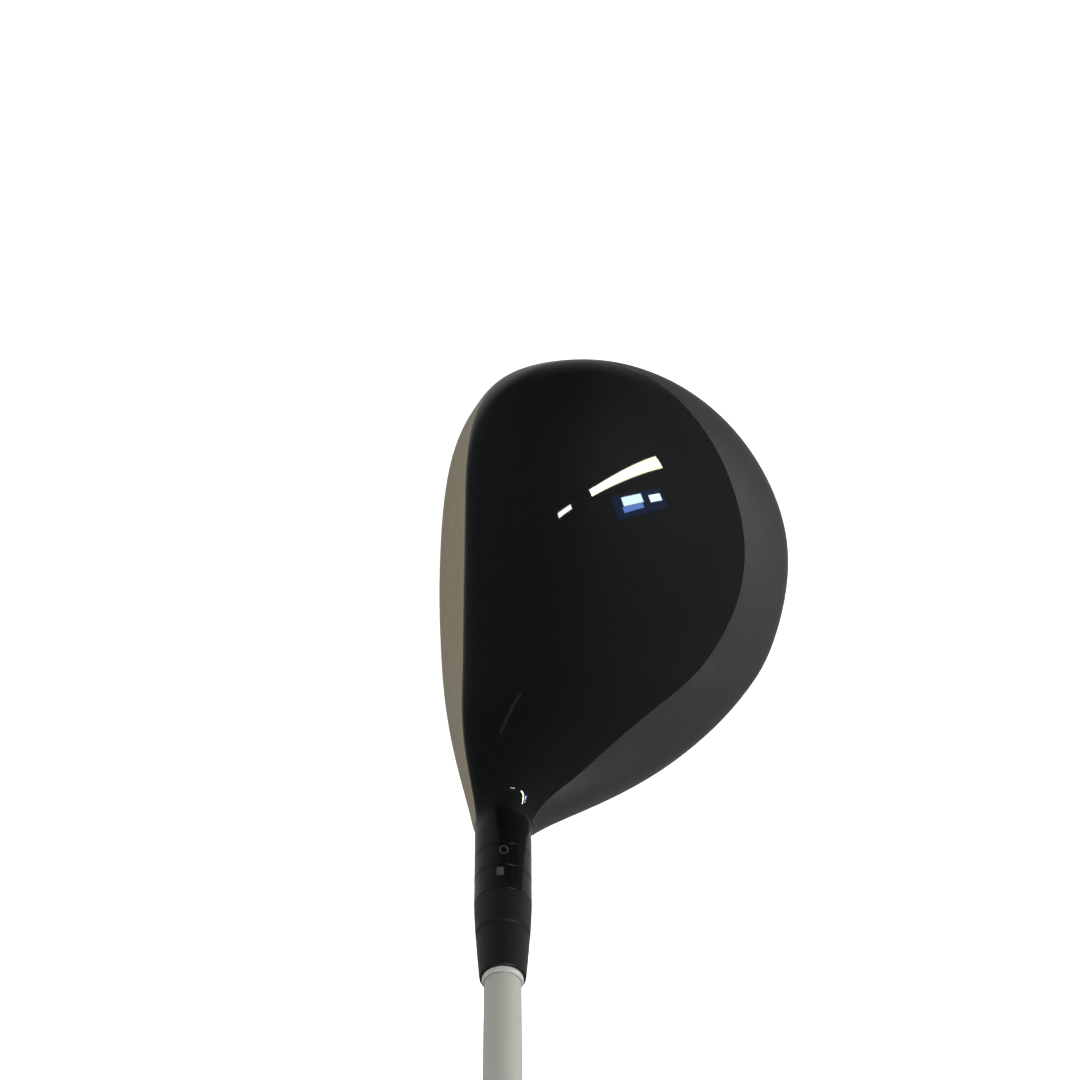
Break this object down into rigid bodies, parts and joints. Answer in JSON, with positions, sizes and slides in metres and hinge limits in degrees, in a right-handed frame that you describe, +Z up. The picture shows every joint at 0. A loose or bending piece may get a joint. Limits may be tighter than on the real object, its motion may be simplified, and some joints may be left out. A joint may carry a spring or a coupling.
{
  "type": "fairway wood",
  "caption": "Right-handed fairway wood with a hollow gloss-black head, satin rim, adjustable hosel sleeve, pale tapered shaft and rubber grip.",
  "frame": {"origin": "middle of the flat on the sole, where the head rests on the ground at address", "axes": "+Z up from the ground, -X the way the face looks, +Y towards the toe; the shaft rises towards -Y at 57 degrees to the ground"},
  "size_m": [0.091, 0.7035, 0.9223],
  "materials": {
    "body_satin": "satin graphite paint",
    "face_steel": "fine blasted satin",
    "crown_gloss": "high gloss black clear coat",
    "hosel_gloss": "gloss black",
    "inner_steel": "as cast",
    "bright_steel": "machined",
    "washer_steel": "plated",
    "seal_rubber": "matte",
    "soft_glue": "satin",
    "retainer_nylon": "matte",
    "sleeve_anodised": "black anodised",
    "ring_anodised": "black anodised",
    "ferrule_plastic": "satin",
    "ferrule_trim": "satin",
    "shaft_paint": "gloss pale grey paint",
    "cork": "natural",
    "tape": "matte",
    "grip_rubber": "matte",
    "cap_rubber": "matte"
  },
  "bodies": {
    "head": {"head_body": "body_satin", "face_plate": "face_steel", "crown_panel": "crown_gloss", "sole_ribs": "inner_steel", "damping_pad": "soft_glue", "weight_port": "inner_steel", "hosel": "hosel_gloss", "screw_washer": "washer_steel", "screw_retainer": "retainer_nylon"},
    "screw": {"hosel_screw": "bright_steel"},
    "shaft_assembly": {"adapter_sleeve": "sleeve_anodised", "loft_ring": "ring_anodised", "ferrule": "ferrule_plastic", "ferrule_ring": "ferrule_trim", "shaft": "shaft_paint", "tip_plug": "cork", "grip_tape": "tape", "grip": "grip_rubber", "grip_cap": "cap_rubber"},
    "seal": {"weight_seal": "seal_rubber"},
    "sole_weight": {"weight": "bright_steel"}
  },
  "joints": [
    {"name": "hosel_screw_turn", "type": "hinge", "parent": "head", "child": "screw", "pos_m": [-0.0096, -0.06031, 0.01342], "axis": [0, 0.5446, -0.8387], "range_deg": [0, 3600]},
    {"name": "shaft_lift", "type": "slide", "parent": "head", "child": "shaft_assembly", "axis": [0, -0.5446, 0.8387], "range_m": [0, 0.008]},
    {"name": "seal_lift", "type": "slide", "parent": "head", "child": "seal", "axis": [0.225, 0, -0.9744], "range_m": [0, 0.0052]},
    {"name": "weight_turn", "type": "hinge", "parent": "seal", "child": "sole_weight", "pos_m": [0.038, -0.003, 0.0032], "axis": [0.225, 0, -0.9744], "range_deg": [0, 2340]}
  ],
  "couplings": [
    {"joint": "hosel_screw_turn", "follows": "shaft_lift", "rad_per_m": 7854},
    {"joint": "weight_turn", "follows": "seal_lift", "rad_per_m": 7854}
  ]
}
